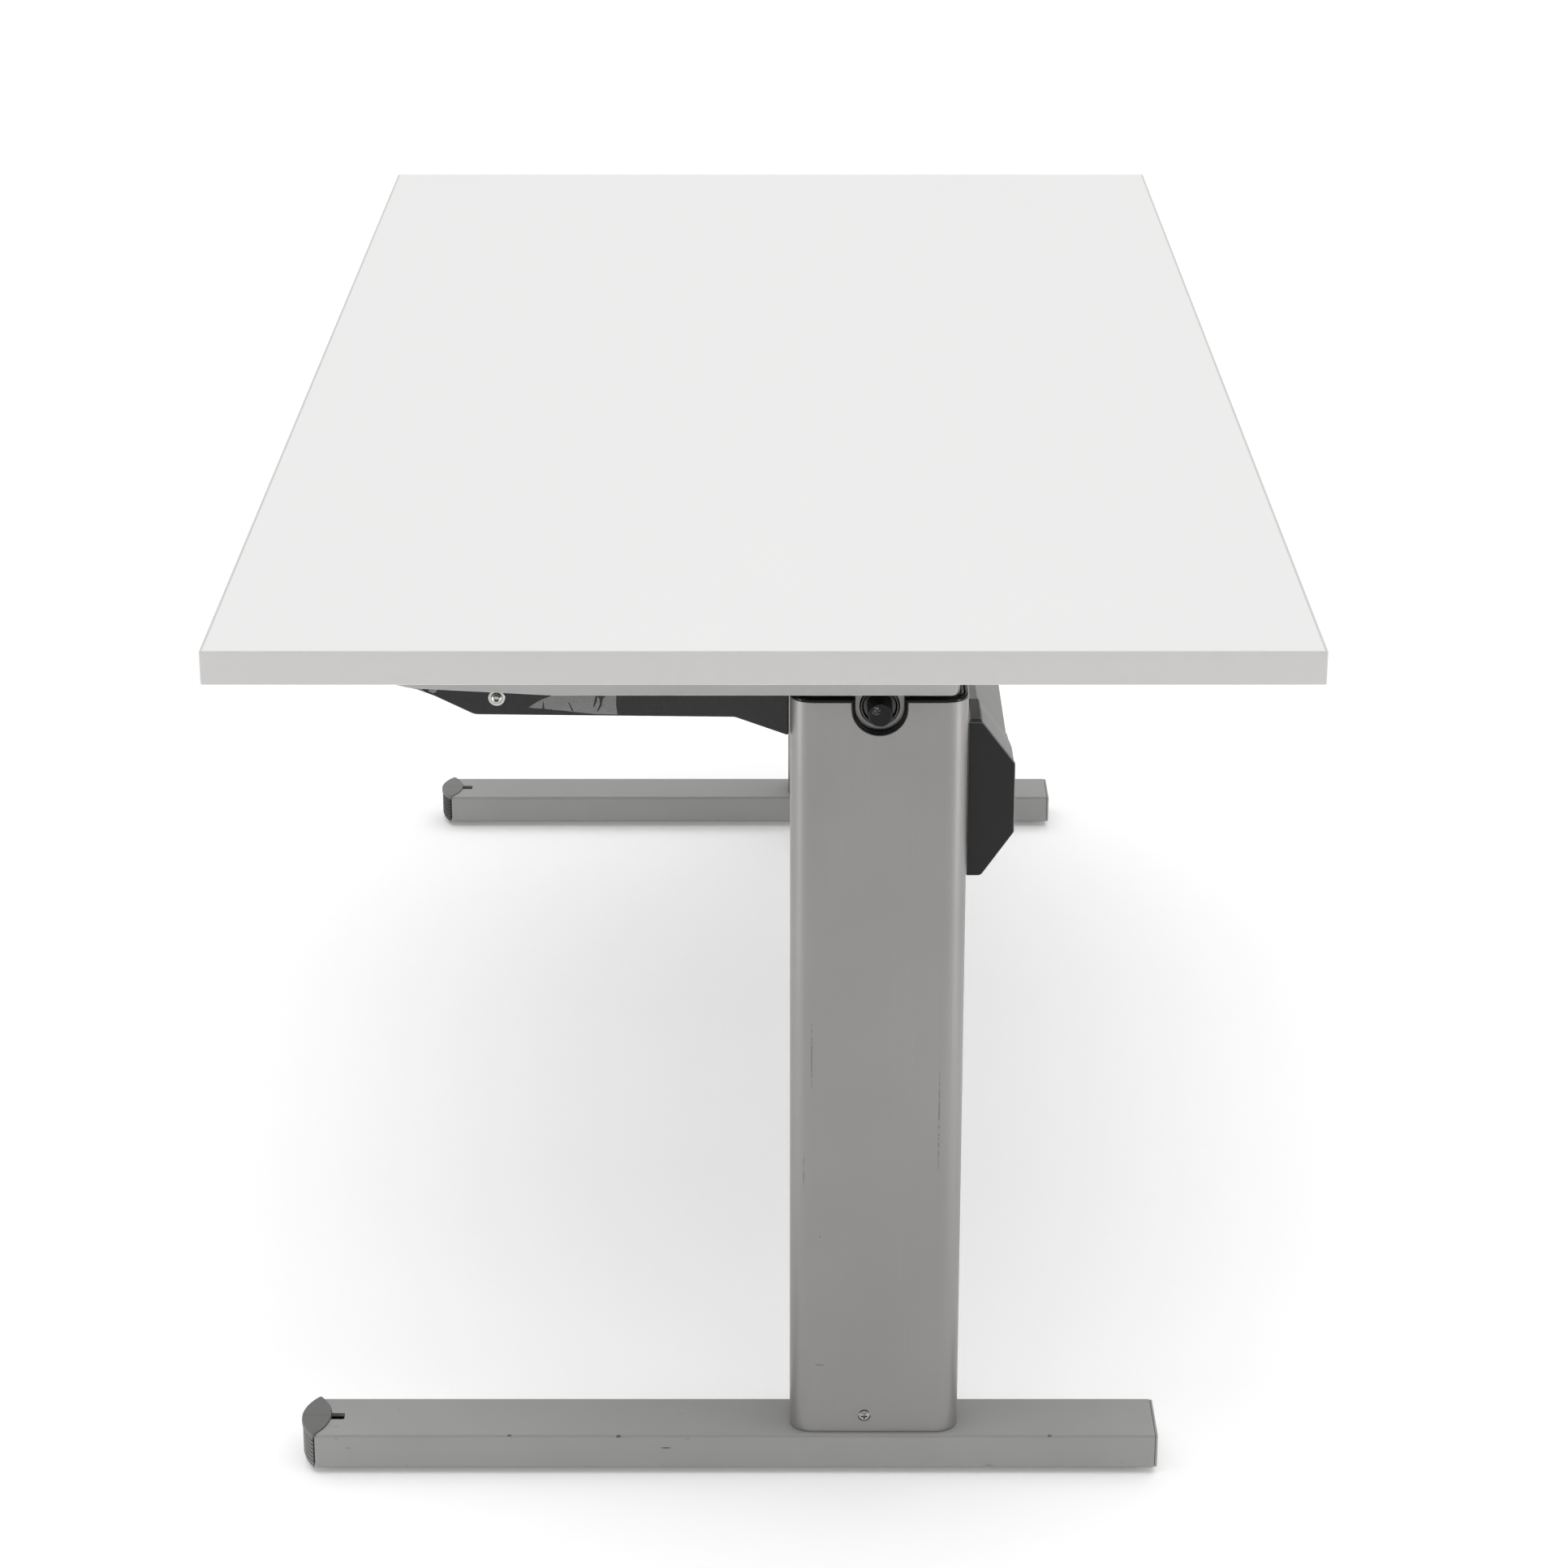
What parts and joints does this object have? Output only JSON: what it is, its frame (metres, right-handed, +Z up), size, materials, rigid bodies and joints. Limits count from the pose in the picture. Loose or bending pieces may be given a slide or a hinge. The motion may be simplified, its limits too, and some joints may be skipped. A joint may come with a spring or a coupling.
{
  "type": "height adjustable standing desk",
  "caption": "White rectangular desk on two grey three-stage telescoping columns with low feet, a rear crossbeam and a hand-crank cross shaft that lifts the top.",
  "frame": {"origin": "centre of the desk on the floor, under the middle of the tabletop", "axes": "+X along the length towards the right leg of the person at the desk, +Y towards the rear, +Z up"},
  "size_m": [1.6, 0.8, 0.702],
  "materials": {
    "white_laminate": "satin white laminate on chipboard, with a warm grey-white edge band",
    "black_rail_paint": "matte black powder coat",
    "drive_steel": "bright drawn steel",
    "beam_paint": "satin grey powder coat",
    "foot_paint": "satin grey powder coat",
    "grey_plastic": "matte grey moulded plastic",
    "leveller_plastic": "black moulded plastic",
    "column_paint": "satin grey paint with fine scratches",
    "black_plastic": "satin to glossy black moulded plastic",
    "zinc_steel": "zinc plated steel",
    "zinc_fastener": "zinc plated steel",
    "nut_brass": "turned brass",
    "black_cast": "black textured paint on a casting",
    "light_grey_paint": "light grey powder coat"
  },
  "bodies": {
    "base": {"crossbeam": "beam_paint", "right_foot_tube": "foot_paint", "right_foot_front_cap": "grey_plastic", "right_foot_rear_cap": "foot_paint", "right_outer_column": "column_paint", "right_outer_collar": "black_plastic", "right_column_base": "zinc_steel", "right_column_screw": "zinc_fastener", "right_spindle_nut": "nut_brass", "right_beam_bracket": "beam_paint", "right_beam_cover": "black_plastic", "right_bracket_bolt_lower": "zinc_fastener", "right_bracket_bolt_upper": "zinc_fastener", "left_foot_tube": "foot_paint", "left_foot_front_cap": "grey_plastic", "left_foot_rear_cap": "foot_paint", "left_outer_column": "column_paint", "left_outer_collar": "black_plastic", "left_column_base": "zinc_steel", "left_column_screw": "zinc_fastener", "left_spindle_nut": "nut_brass", "left_beam_bracket": "beam_paint", "left_beam_cover": "black_plastic", "left_bracket_bolt_lower": "zinc_fastener", "left_bracket_bolt_upper": "zinc_fastener"},
    "top": {"tabletop": "white_laminate", "front_top_rail": "black_rail_paint", "rear_top_rail": "black_rail_paint", "right_inner_column": "column_paint", "right_bearing_block": "zinc_steel", "right_outboard_bush": "black_plastic", "right_inboard_bush": "black_plastic", "right_support_arm": "black_cast", "right_arm_screw": "zinc_fastener", "right_side_rail": "light_grey_paint", "left_inner_column": "column_paint", "left_bearing_block": "zinc_steel", "left_outboard_bush": "black_plastic", "left_inboard_bush": "black_plastic", "left_support_arm": "black_cast", "left_arm_screw": "zinc_fastener", "left_side_rail": "light_grey_paint"},
    "drive_shaft": {"cross_shaft": "drive_steel", "right_shaft_gear": "drive_steel", "right_shaft_end_cap": "black_plastic", "left_shaft_gear": "drive_steel", "left_shaft_end_cap": "black_plastic"},
    "right_middle_stage": {"right_middle_column": "column_paint", "right_middle_collar": "black_plastic"},
    "right_spindle_drive": {"right_spindle": "drive_steel", "right_spindle_gear": "drive_steel"},
    "right_front_levelling_foot": {"right_front_leveller": "leveller_plastic"},
    "right_rear_levelling_foot": {"right_rear_leveller": "leveller_plastic"},
    "left_middle_stage": {"left_middle_column": "column_paint", "left_middle_collar": "black_plastic"},
    "left_spindle_drive": {"left_spindle": "drive_steel", "left_spindle_gear": "drive_steel"},
    "left_front_levelling_foot": {"left_front_leveller": "leveller_plastic"},
    "left_rear_levelling_foot": {"left_rear_leveller": "leveller_plastic"}
  },
  "joints": [
    {"name": "desk_lift", "type": "slide", "parent": "base", "child": "top", "axis": [0, 0, 1], "range_m": [0, 0.5]},
    {"name": "right_middle_slide", "type": "slide", "parent": "base", "child": "right_middle_stage", "axis": [0, 0, 1], "range_m": [0, 0.25]},
    {"name": "left_middle_slide", "type": "slide", "parent": "base", "child": "left_middle_stage", "axis": [0, 0, 1], "range_m": [0, 0.25]},
    {"name": "right_spindle_spin", "type": "hinge", "parent": "top", "child": "right_spindle_drive", "pos_m": [0.7026, 0.0845, 0.6336], "axis": [0, 0, 1], "range_deg": [0, 18000]},
    {"name": "left_spindle_spin", "type": "hinge", "parent": "top", "child": "left_spindle_drive", "pos_m": [-0.7026, 0.0845, 0.6336], "axis": [0, 0, 1], "range_deg": [0, 18000]},
    {"name": "cross_shaft_spin", "type": "hinge", "parent": "top", "child": "drive_shaft", "pos_m": [0, 0.0845, 0.6336], "axis": [1, 0, 0], "range_deg": [-18000, 0]},
    {"name": "right_front_leveller_screw", "type": "slide", "parent": "base", "child": "right_front_levelling_foot", "axis": [0, 0, -1], "range_m": [0, 0.01]},
    {"name": "right_rear_leveller_screw", "type": "slide", "parent": "base", "child": "right_rear_levelling_foot", "axis": [0, 0, -1], "range_m": [0, 0.01]},
    {"name": "left_front_leveller_screw", "type": "slide", "parent": "base", "child": "left_front_levelling_foot", "axis": [0, 0, -1], "range_m": [0, 0.01]},
    {"name": "left_rear_leveller_screw", "type": "slide", "parent": "base", "child": "left_rear_levelling_foot", "axis": [0, 0, -1], "range_m": [0, 0.01]}
  ],
  "couplings": [
    {"joint": "right_middle_slide", "follows": "desk_lift", "ratio": 0.5},
    {"joint": "left_middle_slide", "follows": "desk_lift", "ratio": 0.5},
    {"joint": "right_spindle_spin", "follows": "desk_lift", "rad_per_m": 628.32},
    {"joint": "left_spindle_spin", "follows": "desk_lift", "rad_per_m": 628.32},
    {"joint": "cross_shaft_spin", "follows": "desk_lift", "rad_per_m": -628.32}
  ]
}
